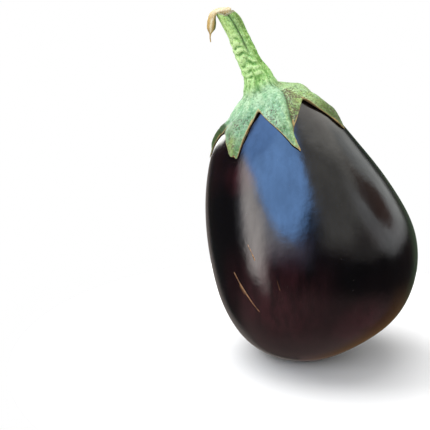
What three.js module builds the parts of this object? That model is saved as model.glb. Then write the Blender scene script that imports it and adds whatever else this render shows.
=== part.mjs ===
// An eggplant that stands on the small flat spot under its fruit: the fruit, its green stalk with a cap of six
// sepals, and a dried strip of peel that curls off the cut end of the stalk.
// Millimetres and degrees. +Z is up and -Y is the front. The origin is the centre of the flat spot.
import * as THREE from "three";

// ---- Fruit ----

// Level cuts through the fruit, from the flat spot to the top: height, sideways place of the centre, radius.
// Its axis leans to the left as it rises.
const FRUIT_CUTS = [
  [0, 0, 12],
  [1.6, -0.3, 18],
  [6, -0.5, 26],
  [15, 0.9, 35.7],
  [30, 4.3, 46.6],
  [48, 4.8, 51.7],
  [68, 2.3, 51.9],
  [90, -3.9, 45.4],
  [110, -9.5, 35],
  [123, -9.4, 23.6],
  [131.5, -11.4, 15.3],
  [135.2, -13.8, 9],
  [136.4, -15.2, 0],
];
const FRUIT_ROWS = 36;
const FRUIT_COLUMNS = 52;

// The scar that the flower left, a shallow dimple low on the right behind the flat spot, and the height that it
// stays under.
const SCAR = { x: 20, y: 13, radius: 7, depth: 1.2, below: 30 };

// ---- Stalk ----

// The middle line of the stalk in the plane y = 0: x, z, half width and lean to the left.
const STALK_CUTS = [
  [-22.8, 136.3, 7.2, 16],
  [-24.2, 143.2, 5.6, 22],
  [-27.3, 150.4, 5.4, 25],
  [-30.9, 157.1, 5.0, 25],
  [-34.0, 163.3, 4.7, 26],
  [-37.7, 169.5, 4.4, 30],
  [-40.2, 172.4, 3.8, 30],
];
const STALK_ROWS = 22;
const STALK_FOOT = 0.13; // share of the stalk's length at which it begins to flare into the calyx
const STALK_RIB = 0.5; // height of its six ribs

// The bumps across the stalk's left side: from and to are lengths along it and fade is how fast they end, side and
// spread are angles round it.
const WRINKLE = { height: 0.35, pitch: 4.8, from: 7, to: 24, fade: 4, side: -45, spread: 60 };

// The cut end: shares of the radius at the edge of the cut face and at its rounded rim, the share of the length
// where the rim starts, and how deep the face lies in the rim.
const CUT_END = { face: 0.8, rim: 0.93, start: 0.99, sink: 0.7 };

// ---- Calyx ----

const CALYX_TILT = 20; // lean of its axis to the left
const CALYX_TOP = [-22, 135.5]; // x and z where the axis leaves the fruit
const CALYX_DEPTH = 45; // from there down the axis to the point that its angles are measured from
const CALYX_FOOT = 14; // angle off the axis at which the flare of the stalk has turned into the calyx
const CALYX_CORNER = 8; // and the angle that the flare is drawn towards
const FLARE_SHARES = [0, 0.3, 0.6, 0.8]; // places of its rings
const POLE_SHARES = [1, 0.65, 0.3]; // places of the rings under the foot, towards the axis
const CLEARANCE = 0.45; // between the calyx and the skin
const EDGE_THICKNESS = 0.85;
const FOOT_THICKNESS = 2.0;
const THINNING = 0.8; // power of the way out from the foot, for the thickness
const FANNING = 1.4; // and for how the columns of a sepal turn towards its edge
const LIFT_FROM = 0.45; // share of the way out at which the tips start to rise
const FLARE_FROM = 0.6; // and the edges
const MIDRIB = { end: 0.25, fade: 0.5 }; // share of its height that it keeps, and where it starts to lose the rest
const SIDE_COLUMNS = 7; // columns of the surface from a notch to a tip
const CALYX_ROWS = 11;
const UNDER_ROWS = 9;

// The notches between the sepals, and each sepal after its notch. Angles: round the axis from the front to the
// right, and off the axis. left and right are the points of its two edges, from the notch to the tip and from
// the tip to the next notch. lift raises the tip, bow the middle and flare the edges off the skin. arch thickens
// the middle of the sepal, hump is one more rise (height, share of the way out, width), and ribs hold each
// midrib's place from edge to edge, its height and its width.
const SEPALS = [
  {
    notch: [-66, 31],
    left: [[-59, 38], [-50.5, 44.5], [-41.5, 55]],
    tip: [-36.8, 55],
    right: [[-34, 57.5], [-31, 48], [-27.5, 33.5]],
    lift: 0.4,
    bow: 0,
    flare: 0.3,
    arch: 0.4,
    hump: [0.5, 0.1, 0.2],
    ribs: [[-0.35, 0.45, 0.25], [0.3, 0.45, 0.25]],
  },
  {
    notch: [-12.7, 21.5],
    left: [[-5.5, 28], [5.5, 39.2], [12.8, 52.5]],
    tip: [16, 65.5],
    right: [[17.4, 57], [21.8, 46], [36, 37.5]],
    lift: 0.3,
    bow: 0,
    flare: 0.3,
    arch: 0.1,
    hump: [0, 0.1, 0.2],
    ribs: [[0.08, 1.5, 0.28]],
  },
  {
    notch: [60, 29],
    left: [[63, 37.3], [70, 47], [76.5, 56.3]],
    tip: [81, 66.3],
    right: [[87, 62], [92.5, 53], [96, 43]],
    lift: 0.2,
    bow: 0,
    flare: 0.7,
    arch: 0.4,
    hump: [0.5, 0.75, 0.15],
    ribs: [[0.05, 0.9, 0.3]],
  },
  {
    notch: [99, 33],
    left: [[104, 40], [112, 48], [121, 54]],
    tip: [130, 59],
    right: [[138, 53], [147, 45], [158, 37]],
    lift: 0.5,
    bow: 0,
    flare: 0.4,
    arch: 1.0,
    hump: [1.7, 0.42, 0.2],
    ribs: [[0, 1.0, 0.3]],
  },
  {
    notch: [169, 31],
    left: [[176, 38], [185, 45], [193, 51]],
    tip: [201, 58],
    right: [[206, 51], [212, 44], [219, 37]],
    lift: 0.6,
    bow: 0.3,
    flare: 0.4,
    arch: 0.4,
    hump: [0.9, 0.2, 0.2],
    ribs: [[0.1, 1.0, 0.3]],
  },
  {
    notch: [229, 32],
    left: [[238, 38], [250, 45.5], [262, 52]],
    tip: [277, 59.5],
    right: [[280, 53], [282.5, 46.5], [287, 38]],
    lift: 0,
    bow: 1.0,
    flare: 0.2,
    arch: 0,
    hump: [2.2, 0.1, 0.2],
    ribs: [[0, 0.3, 0.3]],
  },
];

// ---- Dried strip ----

// The middle line of the strip: x, y, z, outer radius of its channel, half of the angle that the channel spans.
const STRIP_CUTS = [
  [-39.6, 0.4, 172.9, 2.0, 50],
  [-42.2, 0.2, 172.6, 2.3, 66],
  [-44.7, 0, 171.6, 2.5, 82],
  [-46.0, -0.1, 169.8, 2.3, 115],
  [-46.5, -0.2, 167.2, 2.2, 138],
  [-46.9, -0.3, 164.6, 1.6, 145],
  [-47.2, -0.3, 162.8, 0.6, 145],
  [-47.4, -0.3, 161.2, 0.4, 145],
  [-47.1, -0.3, 158.8, 0.35, 145],
];
const STRIP_THICKNESS = 0.8;
const STRIP_ROWS = 30;
const STRIP_ARC = 7; // points across the channel, on each of its two faces
const THREAD_HOLLOW = 0.05; // radius of the hollow where the channel has rolled up into a thread

// ---- Colours ----

const SKIN = { color: 0x1a1418, roughness: 0.18, metalness: 0 };
const GREEN = { color: 0x93bd7c, roughness: 0.6, metalness: 0 };
const TAN = { color: 0xd3b477, roughness: 0.7, metalness: 0 };

// ---- Helpers ----

const HALVINGS = 30; // of a range, to find a place in it
const STEP = 0.01; // share of a curve, to find its direction

const radians = THREE.MathUtils.degToRad;
const lerp = THREE.MathUtils.lerp;
const smooth = THREE.MathUtils.smoothstep;

// The bell curve of height 1 that falls off over width.
const bell = (distance, width) => Math.exp(-((distance / width) ** 2));

// A curve through rows of up to six numbers. at(t) gives the row at a share of the points' range.
function rowCurve(rows) {
  const part = (from) =>
    new THREE.CatmullRomCurve3(
      rows.map((row) => new THREE.Vector3(...[0, 1, 2].map((k) => row[from + k] ?? 0))),
      false,
      "centripetal",
    );
  const first = part(0);
  const second = part(3);
  return (t) => [...first.getPoint(t).toArray(), ...second.getPoint(t).toArray()];
}

// A closed body from rings of equal length, each ring joined to the next, with both ends closed to a point.
// Seen from outside the start, each ring runs anticlockwise.
function closedBody(start, rings, end) {
  const columns = rings[0].length;
  const points = [start, ...rings.flat(), end];
  const last = points.length - 1;
  const at = (ring, column) => 1 + ring * columns + (column % columns);
  const faces = [];
  for (let column = 0; column < columns; column++) {
    faces.push(0, at(0, column), at(0, column + 1));
    faces.push(last, at(rings.length - 1, column + 1), at(rings.length - 1, column));
    for (let ring = 0; ring + 1 < rings.length; ring++) {
      const [a, b] = [at(ring, column), at(ring, column + 1)];
      const [c, d] = [at(ring + 1, column), at(ring + 1, column + 1)];
      faces.push(a, c, d, a, d, b);
    }
  }
  const geometry = new THREE.BufferGeometry().setFromPoints(points);
  geometry.setIndex(faces);
  geometry.computeVertexNormals();
  return geometry;
}

function namedMesh(name, geometry, look) {
  const mesh = new THREE.Mesh(geometry, new THREE.MeshStandardMaterial(look));
  mesh.name = name;
  return mesh;
}

// ---- Fruit ----

const fruitCurve = rowCurve(FRUIT_CUTS);
const FRUIT_TOP = FRUIT_CUTS.at(-1)[0];

// The level cut at a height: the curve's height only rises, so halving its range finds it.
function fruitCut(height) {
  let [low, high] = [0, 1];
  for (let step = 0; step < HALVINGS; step++) {
    const middle = (low + high) / 2;
    if (fruitCurve(middle)[0] < height) {
      low = middle;
    } else {
      high = middle;
    }
  }
  return fruitCurve(low);
}

function fruitGeometry() {
  const rings = [];
  for (let row = 0; row < FRUIT_ROWS; row++) {
    const [height, centre, radius] = fruitCurve(row / FRUIT_ROWS);
    const ring = [];
    for (let column = 0; column < FRUIT_COLUMNS; column++) {
      const turn = (-2 * Math.PI * column) / FRUIT_COLUMNS;
      const point = new THREE.Vector3(centre + radius * Math.cos(turn), radius * Math.sin(turn), height);
      const off = Math.hypot(point.x - SCAR.x, point.y - SCAR.y);
      if (row > 0 && height < SCAR.below) {
        point.z += SCAR.depth * bell(off, SCAR.radius);
      }
      ring.push(point);
    }
    rings.push(ring);
  }
  const [topHeight, topCentre] = FRUIT_CUTS.at(-1);
  return closedBody(new THREE.Vector3(0, 0, 0), rings, new THREE.Vector3(topCentre, 0, topHeight));
}

// ---- Stalk and calyx ----

const FRONT = new THREE.Vector3(0, -1, 0);
const axis = new THREE.Vector3(-Math.sin(radians(CALYX_TILT)), 0, Math.cos(radians(CALYX_TILT)));
const heart = new THREE.Vector3(CALYX_TOP[0], 0, CALYX_TOP[1]).addScaledVector(axis, -CALYX_DEPTH);

// The direction from the heart of the calyx at an angle round its axis and an angle off it.
function heading(round, off) {
  const right = new THREE.Vector3().crossVectors(axis, FRONT);
  const outward = FRONT.clone().multiplyScalar(Math.cos(radians(round)));
  outward.addScaledVector(right, Math.sin(radians(round)));
  return outward.multiplyScalar(Math.sin(radians(off))).addScaledVector(axis, Math.cos(radians(off)));
}

// How far the skin is from the heart of the calyx in a direction.
function skinDistance(direction) {
  let [low, high] = [0, 2 * CALYX_DEPTH];
  for (let step = 0; step < HALVINGS; step++) {
    const middle = (low + high) / 2;
    const point = heart.clone().addScaledVector(direction, middle);
    const [, centre, radius] = fruitCut(Math.min(point.z, FRUIT_TOP));
    const inside = point.z < FRUIT_TOP && Math.hypot(point.x - centre, point.y) < radius;
    if (inside) {
      low = middle;
    } else {
      high = middle;
    }
  }
  return low;
}

// The point above the skin at an angle round and off the axis of the calyx.
function aboveSkin(round, off, height) {
  const direction = heading(round, off);
  return heart.clone().addScaledVector(direction, skinDistance(direction) + height);
}

// The columns of the calyx: each has its sepal, its place across it (-1 and 1 at the notches, 0 at the tip), its
// angle round the axis at the foot and its two angles at the edge.
function calyxColumns() {
  const columns = [];
  SEPALS.forEach((sepal, index) => {
    const next = SEPALS[index + 1] ?? { notch: [SEPALS[0].notch[0] + 360, SEPALS[0].notch[1]] };
    const leftEdge = rowCurve([sepal.notch, ...sepal.left, sepal.tip]);
    const rightEdge = rowCurve([sepal.tip, ...sepal.right, next.notch]);
    for (let k = 0; k < 2 * SIDE_COLUMNS; k++) {
      const place = k / SIDE_COLUMNS - 1;
      const edge = place < 0 ? leftEdge(place + 1) : rightEdge(place);
      columns.push({ sepal, place, foot: lerp(sepal.notch[0], next.notch[0], (place + 1) / 2), edge });
    }
  });
  return columns;
}

// The angles of a column at a share of its way from the foot of the calyx to the edge.
function columnAngles(column, share) {
  return [lerp(column.foot, column.edge[0], share ** FANNING), lerp(CALYX_FOOT, column.edge[1], share)];
}

// The gap under a column of the calyx at a share of its way out.
function gapUnder({ sepal, place }, share) {
  const bow = sepal.bow * Math.sin(Math.PI * share ** 2);
  const tip = (sepal.lift * smooth(share, LIFT_FROM, 1) + bow) * (1 - place * place);
  const edge = sepal.flare * smooth(share, FLARE_FROM, 1) * Math.abs(place);
  return CLEARANCE + tip + edge;
}

// The thickness of its flesh there.
function fleshOf({ sepal, place }, share) {
  const plain = lerp(FOOT_THICKNESS, EDGE_THICKNESS, share ** THINNING);
  const [height, middle, width] = sepal.hump;
  const rise = sepal.arch * Math.sin(Math.PI * share) + height * bell(share - middle, width);
  const ribs = sepal.ribs.map((rib) => rib[1] * bell(place - rib[0], rib[2]));
  const fade = lerp(1, MIDRIB.end, smooth(share, MIDRIB.fade, 1)) * (1 - share ** 6);
  return plain + rise * (1 - place * place) + Math.max(...ribs) * fade;
}

const stalkCurve = rowCurve(STALK_CUTS.map(([x, z, half, lean]) => [x, 0, z, half, lean]));
const stalkLength = Math.hypot(
  STALK_CUTS.at(-1)[0] - STALK_CUTS[0][0],
  STALK_CUTS.at(-1)[1] - STALK_CUTS[0][1],
);

// The point of a column of the stalk at a share of its length from the calyx.
function stalkPoint(column, share, scale = 1, sink = 0) {
  const [x, , z, half, lean] = stalkCurve(share);
  const along = new THREE.Vector3(-Math.sin(radians(lean)), 0, Math.cos(radians(lean)));
  const right = new THREE.Vector3().crossVectors(along, FRONT);
  const length = share * stalkLength;
  const turn = radians(column.foot);
  const rib = STALK_RIB * Math.cos(Math.PI * column.place);
  const side = bell(column.foot - WRINKLE.side, WRINKLE.spread);
  const start = smooth(length, WRINKLE.from - WRINKLE.fade, WRINKLE.from);
  const end = 1 - smooth(length, WRINKLE.to, WRINKLE.to + WRINKLE.fade);
  const phase = (2 * Math.PI * length) / WRINKLE.pitch;
  const bumps = Math.sin(phase + 2 * turn) * Math.cos(0.4 * phase - 3 * turn);
  const radius = (half + rib + WRINKLE.height * side * start * end * bumps) * scale;
  return new THREE.Vector3(x, 0, z)
    .addScaledVector(FRONT, radius * Math.cos(turn))
    .addScaledVector(right, radius * Math.sin(turn))
    .addScaledVector(along, -sink);
}

// The flare from the stalk out onto the calyx, as an arc drawn towards a corner.
function flarePoint(column, share) {
  const corner = aboveSkin(column.foot, CALYX_CORNER, CLEARANCE + fleshOf(column, 0));
  const outer = aboveSkin(column.foot, CALYX_FOOT, gapUnder(column, 0) + fleshOf(column, 0));
  return new THREE.QuadraticBezierCurve3(stalkPoint(column, STALK_FOOT), corner, outer).getPoint(share);
}

function stalkAndCalyxGeometry() {
  const columns = calyxColumns();
  const ring = (point) => columns.map(point);
  const rings = [ring((column) => stalkPoint(column, 1, CUT_END.face, CUT_END.sink))];
  rings.push(ring((column) => stalkPoint(column, 1, CUT_END.rim)));
  for (let row = 0; row < STALK_ROWS; row++) {
    const share = lerp(CUT_END.start, STALK_FOOT, row / STALK_ROWS);
    rings.push(ring((column) => stalkPoint(column, share)));
  }
  for (const share of FLARE_SHARES) {
    rings.push(ring((column) => flarePoint(column, share)));
  }
  for (let row = 0; row <= CALYX_ROWS; row++) {
    const share = row / CALYX_ROWS;
    rings.push(
      ring((column) =>
        aboveSkin(...columnAngles(column, share), gapUnder(column, share) + fleshOf(column, share)),
      ),
    );
  }
  for (let row = 0; row < UNDER_ROWS; row++) {
    const share = 1 - row / UNDER_ROWS;
    rings.push(ring((column) => aboveSkin(...columnAngles(column, share), gapUnder(column, share))));
  }
  for (const share of POLE_SHARES) {
    rings.push(ring((column) => aboveSkin(column.foot, share * CALYX_FOOT, CLEARANCE)));
  }
  const [endX, , endZ] = stalkCurve(1);
  const cutFace = new THREE.Vector3(endX, 0, endZ).addScaledVector(axis, -CUT_END.sink);
  return closedBody(cutFace, rings, aboveSkin(0, 0, CLEARANCE));
}

// ---- Dried strip ----

// A channel that opens towards the stalk, swept along its middle line.
function driedStripGeometry() {
  const curve = rowCurve(STRIP_CUTS);
  const middle = (share) => new THREE.Vector3(...curve(share).slice(0, 3));
  const rings = [];
  for (let row = 0; row <= STRIP_ROWS; row++) {
    const share = row / STRIP_ROWS;
    const [, , , radius, span] = curve(share);
    const along = middle(Math.min(1, share + STEP)).sub(middle(Math.max(0, share - STEP))).normalize();
    const away = new THREE.Vector3().crossVectors(along, FRONT).normalize();
    const side = new THREE.Vector3().crossVectors(along, away);
    const inner = Math.max(radius - STRIP_THICKNESS, THREAD_HOLLOW);
    const at = (angle, reach) =>
      middle(share)
        .addScaledVector(away, reach * Math.cos(angle))
        .addScaledVector(side, reach * Math.sin(angle));
    const ring = [];
    for (let k = 0; k < STRIP_ARC; k++) {
      ring.push(at(radians(lerp(span, -span, k / (STRIP_ARC - 1))), radius));
    }
    for (let k = 0; k < STRIP_ARC; k++) {
      ring.push(at(radians(lerp(-span, span, k / (STRIP_ARC - 1))), inner));
    }
    rings.push(ring);
  }

  // The middle of a ring, between the points next to its four corners.
  const centre = (ring) => {
    const sum = new THREE.Vector3();
    const corners = [1, STRIP_ARC - 2, STRIP_ARC + 1, 2 * STRIP_ARC - 2];
    corners.forEach((k) => sum.add(ring[k]));
    return sum.divideScalar(corners.length);
  };
  return closedBody(centre(rings[0]), rings, centre(rings.at(-1)));
}

// ---- The eggplant ----

const eggplant = new THREE.Group();
eggplant.name = "eggplant";
eggplant.add(namedMesh("fruit", fruitGeometry(), SKIN));
eggplant.add(namedMesh("calyx_and_stalk", stalkAndCalyxGeometry(), GREEN));
eggplant.add(namedMesh("dried_strip", driedStripGeometry(), TAN));

export default eggplant;
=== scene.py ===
"""The looks of a globe eggplant: its waxy skin, its green stalk with the calyx, and a dried strip of peel."""

import math

import bpy
import numpy as np
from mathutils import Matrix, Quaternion, Vector, noise
from mathutils.bvhtree import BVHTree
from mathutils.kdtree import KDTree


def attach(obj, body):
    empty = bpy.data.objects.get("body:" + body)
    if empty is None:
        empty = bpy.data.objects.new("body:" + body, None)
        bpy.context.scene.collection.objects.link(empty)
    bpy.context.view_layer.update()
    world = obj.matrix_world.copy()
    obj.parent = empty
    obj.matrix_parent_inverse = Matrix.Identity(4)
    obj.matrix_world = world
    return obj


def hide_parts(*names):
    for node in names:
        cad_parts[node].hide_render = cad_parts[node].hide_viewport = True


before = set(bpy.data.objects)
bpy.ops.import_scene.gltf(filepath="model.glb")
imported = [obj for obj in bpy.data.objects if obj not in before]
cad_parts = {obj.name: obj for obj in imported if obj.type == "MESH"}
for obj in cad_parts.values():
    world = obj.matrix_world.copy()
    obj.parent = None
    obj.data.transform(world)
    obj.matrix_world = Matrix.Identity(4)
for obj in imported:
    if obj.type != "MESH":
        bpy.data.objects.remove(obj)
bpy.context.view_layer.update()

MM = 0.001
SMOOTHING = 2  # rounds of subdivision for each piece
MERGE_DISTANCE = 0.00001
QUAD_ANGLE = math.radians(60)  # how askew two triangles may be that are joined into a quad

# ---- Camera, in metres and millimetres of lens ----

CAMERA_PLACE = (-0.0026, -0.49256, 0.21281)
CAMERA_AIM = (-0.0451, 0.0, 0.07207)
CAMERA_LENS = 85.0
CAMERA_CLIP = (0.01, 20)

# How the places of forms are given below. Four limits: where a form begins, is full, starts to fade and ends.
# Two limits: where it begins and is full. A middle and a spread: a form that fades to both sides.

# ---- Fruit, in millimetres ----

# It swells on its right side, and most of all low down.
SIDE_SWELL = 0.6
LOW_SWELL = 1.9
LOW_SWELL_HEIGHT = (17, 12)  # middle and spread
SWELL_ASIDE = (0, 40)  # limits
SWELL_HEIGHTS = (0, 6, 100, 130)

# ---- Stalk and calyx, in millimetres and degrees ----

# A place on them is told by its heading, which goes round from the front (0) to the right (90), by its angle
# off the calyx's axis, and by its rise up the stalk, which is below 0 on the calyx.

# Points of the stalk's middle line, from the calyx up, in the plane y = 0: x and z.
STALK_LINE = np.array(
    [
        (-22.8, 136.3),
        (-24.2, 143.2),
        (-27.3, 150.4),
        (-30.9, 157.1),
        (-34.0, 163.3),
        (-37.7, 169.5),
        (-40.2, 172.4),
    ]
)
STALK_START = (-2, 5)  # along that line: below it is the calyx, and above it the stalk
STALK_GIRTH = (7.5, 12)  # off that line: within it is the stalk, and beyond it the calyx
CALYX_LEAN = math.radians(20)
CALYX_TOP = Vector((-22.0, 0.0, 135.5))
CALYX_DEPTH = 45.0
CALYX_FOOT = 8.0

# The rims of the sepals.
RIM_START = 18  # their least angle off the axis
RIM_SLOPE = 0.5  # how far their faces may lie down on the skin
RIM_FACES = (0.2, 0.7)  # how far a place faces out: its rim, and its upper side
RIM_ANGLES = (17, 21)
UPPER_SIDE = (0.1, 0.6)
EDGE_STEPS = 6  # points along each side of a rim's faces
CAD_CLEARANCE = 0.45  # from the skin to the underside of the sepals, as they come
RIM_SINK = 0.5  # how far the rims go down from there
RIM_REACH = (0.3, 6.0)  # how far from the rim that ends
RIM_THINNED = 0.4  # share of their thickness that they lose
THICK_RIMS = [(59, 8, 0.8), (-14, 6, 0.6)]  # where they don't: heading, spread and share

# Parts of the calyx that are turned round its axis, towards the left and the back.
LEAST_SWING = 0.01  # a smaller one is left out
SLIM_SWING = 13  # the slim sepal on the left
SLIM_SWING_LEFTWARD = (68, 74, 88, 120)
SLIM_SWING_ANGLES = (33, 41, 54, 60)
NOTCH_SWING = 18  # the notch before it
NOTCH_LEFTWARD = (44, 60, 84, 130)
NOTCH_ANGLES = (23, 31, 34, 42)
BROAD_SWING = 7  # the edge of the broad sepal beside it: middle and spread
BROAD_SWING_HEADING = (-60, 9)
BROAD_SWING_ANGLE = (42, 7)
SIDE_SWING = 2  # the tip of the sepal on the right, which comes to the front
SIDE_HEADING = (86, 18)
SIDE_ANGLES = (46, 56)
TIP_NARROWED = 2.8  # the right edge of the front sepal, beside its tip
TIP_EDGE_HEADING = (24, 12)
TIP_EDGE_ANGLE = (53, 5)
TIP_EDGE_FROM_RIB = (0, 4)
TIP_HOOKED = 2.0  # the tip itself, the other way
TIP_HEADING = (17, 14)
TIP_ANGLES = (56, 62)

# Ribs of the calyx.
FRONT_RIB = [(12, 40), (22, 32), (31, 24), (39, 20.5), (48, 18.4), (62, 16)]  # angle and heading
FRONT_RIB_HEIGHT = 0.60
FRONT_RIB_PLACE = (0, 1.5)  # across it: middle and spread
FRONT_RIB_DEPTH = 0.50  # of the groove on its right
FRONT_RIB_GROOVE = (2.6, 1.3)
FRONT_RIB_ANGLES = (12, 20, 56, 64)
SEPAL_RIBS = [(78, 0.35), (130, 0.5), (201, 0.45), (-50, 0.3)]  # heading and height
SEPAL_RIB_PLACE = (0, 1.6)
SEPAL_RIB_ANGLES = (18, 30)
SIDE_LIFT = 1.1  # how far the sepal on the right stands out near its tip
SIDE_LIFT_HEADING = (104, 18)
SIDE_LIFT_ANGLES = (42, 52)
BROAD_SPLIT = -38.5  # heading of the split in the tip of the broad sepal
BROAD_SPLIT_DEPTH = 0.55
BROAD_SPLIT_PLACE = (0, 0.8)
BROAD_SPLIT_ANGLES = (44, 53)
VEINED_FALL = (2, 9)  # how far down the calyx its veins begin
COARSE_BUMPS = (0.20, 3.6)  # height and size
FINE_BUMPS = (0.10, 1.5)

# Noise on the stalk and calyx: its height, how finely it goes round them, the length of its spots along them,
# and where it starts.
FOLD_WANDER = (0.8, 1.4, 9, 0)
FOLD_PATCHES = (1.0, 2.0, 6, 9)
LUMPS = (0.85, 2.1, 4.2, 0)
FOOT_WRINKLES = (0.85, 4.4, 7, 3)
UPPER_FLUTES = (0.30, 2.4, 30, 0)
STALK_FIBRES = (0.14, 6.5, 11, 0)
CALYX_VEINS = (0.40, 6, 10, 0)
GRAIN_SCALE = (5, 12)  # the same for the fibres in its material: how finely, and how long

# Forms of the stalk.
STALK_RELIEF_RISE = (-8, 1)
FOLD_PITCH = 4.1  # from one cross fold to the next
FOLD_HEIGHT = 0.50
FOLD_SLANT = 0.03  # how far a fold goes down for each degree to the right
FOLDED_PATCHES = (-0.55, 0.1)
FOLDED_RISE = (5, 10, 26, 32)
LUMPED_RISE = (0, 5, 25, 34)
CRUMPLED_HEADING = (-34, 50)
LEAST_CRUMPLED = 0.18  # share of the folds and lumps that is on the other side too
FOOT_RISE = (-5, 0, 9, 15)
FOOT_FLARE = (0.8, 0.3, 1.3)  # all round, how much more on the right, and the height of both
FLARED_RISE = (-7, 3, 6, 18)
ASIDE = (0.1, 0.9)  # from the front round to the side, as a sine
LEFT_BULGE = 0.9
LEFT_BULGE_RISE = (17, 11)
WAISTS = [(1.9, 13, 8), (0.8, 27, 6)]  # on the right side: depth, middle and spread
GROOVE_DEPTH = 0.75
GROOVE_HEADING = (12, 9)
FLUTE_HEIGHT = 0.35
FLUTE_HEADING = (-12, 12)
FLUTED_RISE = (15, 25)
END_RISE = 39.9  # length of the stalk, up to its cut end
END_ROUND = 0.6  # the last bit before the cut end, which is left as it is
END_LIFT = 3.0  # how much longer the stalk's left side is
END_LIFT_START = 5.0  # how far below the cut end that begins
END_LIFT_ASIDE = (0.0, 0.9)
END_LIFT_WAY = (-0.45, 0, 0.9)
HOLLOW_ROUNDS = 24  # how widely a place is compared with what surrounds it

# Patches of the calyx and stalk that have tones of their own, and patches of painted light and painted shade.
OUTWARD_ANGLES = (22, 56)
RIGHT_SIDE_HEADING = (34, 60, 150, 178)
RIGHT_SIDE_OUTER_SHADE = (30, 48)
RIGHT_SIDE_SHADED = (28, 50)
SIDE_TIP_HEADING = (88, 16)
SIDE_TIP_ANGLES = (60, 65)
RIGHT_FACE_FROM_RIB = (0.8, 3.0)
RIGHT_FACE_ENDS = (56, 66)
RIGHT_FACE_ANGLES = (15, 20)
RIGHT_FACE_INNER_SHADE_ENDS = (34, 44)
RIGHT_FACE_SPECKLED_ENDS = (32, 42)
FRONT_LEFT_HEADING = (1, 15)
FRONT_LEFT_ANGLES = (20, 27, 50, 60)
FRONT_TIP_HEADING = (17, 12)
FRONT_TIP_ANGLES = (58, 62)
BROAD_HEADING = (-48, 26)
BROAD_ANGLES = (20, 30)
BROAD_STRIPE_HEADING = (-43, 4)
BROAD_STRIPE_ANGLES = (38, 46)
SLIM_LEFTWARD = (66, 75, 110, 130)
SLIM_ANGLES = (31, 36)
SLIM_TIP_ANGLES = (46, 56)
RIB_TONED_ANGLES = (24, 32, 58, 64)
RIB_TONED = (0, 1.0)  # this and the next two are middles and spreads across the rib
RIB_GROOVE_SHADE = (2.2, 0.9)
LIT_BESIDE_RIB = (3.6, 0.8)
COLLAR_RISE = (-14, -2)
STALK_GROOVE_SHADE_HEADING = (10, 6)
STALK_GROOVE_SHADE_RISE = (17, 24)
STALK_LEFT_HEADING = (-56, 54)
STALK_LEFT_MIDDLE_RISE = (12, 24)
STALK_LEFT_UPPER_RISE = (12, 20)
STALK_LEFT_TOP_RISE = (28, 36)
STALK_RIGHT_HEADING = (20, 50)
STALK_RIGHT_RISE = (4, 14)
STALK_RIGHT_TOP_SHADE_HEADING = (-4, 18)
STALK_RIGHT_TOP_SHADE_RISE = (27, 35)

# How much of each tone, painted light and painted shade the calyx and stalk have, patch by patch.
PAINT = {
    # yellower, and painted light beside the front rib and on the stalk's left side
    "yellow_and_lit": {
        "everywhere": 0.12,
        "outward": 0.15,
        "right_side": 0.60,
        "right_face": 0.25,
        "broad_stripe": 1.0,
        "rib": 0.35,
        "lit_beside_rib": 0.6,
        "lit_stalk_left_middle": 0.60,
        "stalk_right": 0.30,
    },
    # deeper green outward, and painted shade on the right sepal, the front sepal's right face and the stalk's
    # right side
    "deep_green_and_shade": {
        "outward": 0.80,
        "right_side_outer_shade": 0.4,
        "right_face_inner_shade": 0.45,
        "stalk_right": 0.2,
        "stalk_right_top_shade": 0.62,
    },
    # painted shade on the sepals that face away from the light, on the slim sepal and in the stalk's groove
    "painted_shade": {
        "broad": 0.42,
        "right_side_shaded": 0.7,
        "front_left_outer_shade": 0.26,
        "slim": 1.0,
        "slim_tip": -0.4,
        "stalk_groove_shade": 0.5,
    },
    "speckled": {
        "everywhere": 0.12,
        "right_face": 1.1,
        "front_left": 0.62,
        "broad": 0.5,
        "right_side": 0.45,
    },
    "brown": {
        "slim": 0.12,
        "front_tip": 0.9,
        "side_tip": 0.8,
        "right_face_speckled": 0.22,
    },
    # painted shade in the groove beside the front rib and in the stalk's groove
    "streak": {
        "rib_groove_shade": 1.0,
        "stalk_groove_shade": 1.0,
    },
    # paler: painted light on the stalk's left side, and paler round the collar, less so on its right
    "pale_and_lit": {
        "lit_stalk_left": 0.5,
        "lit_stalk_left_upper": 0.5,
        "lit_stalk_left_top": -0.5,
        "collar": 0.46,
        "collar_right": -0.23,
    },
}

# ---- Dried strip, in millimetres ----

ROOT_ASIDE = (-44.5, -40.5)  # from its bend to the end that lies on the stalk
ROOT_REACH = 1.9
ROOT_LIFT = 0.1
ROOT_SINK = 1.5
ROOT_SPREAD = 0.35
ROOT_HEIGHTS = (169.0, 172.0)
BODY_HEIGHTS = (162.0, 165.0)  # from its thread to its body
BODY_SWELL = 0.45
UNDERSIDE = (0.1, 0.7)  # how far a place faces down
UNDERSIDE_SPARED = 0.6
PEEL_FIBRES = (1.1, 0.9, 4)
PEEL_FIBRE_HEIGHT = 0.16
# A painted highlight on the ridge that faces the front, and painted shade on the inside, which faces right.
PEEL_LIGHT_AND_SHADE = 0.9  # how strong the tones of its ridge and its inside are
RIDGE_HIGHLIGHT_FACING = (-0.12, 0.2)  # how far a place faces right: middle and spread
INSIDE_SHADE_FACING = (0.25, 0.65)

# ---- Helpers for meshes ----


def select_only(piece):
    bpy.ops.object.select_all(action="DESELECT")
    piece.select_set(True)
    bpy.context.view_layer.objects.active = piece


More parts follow.
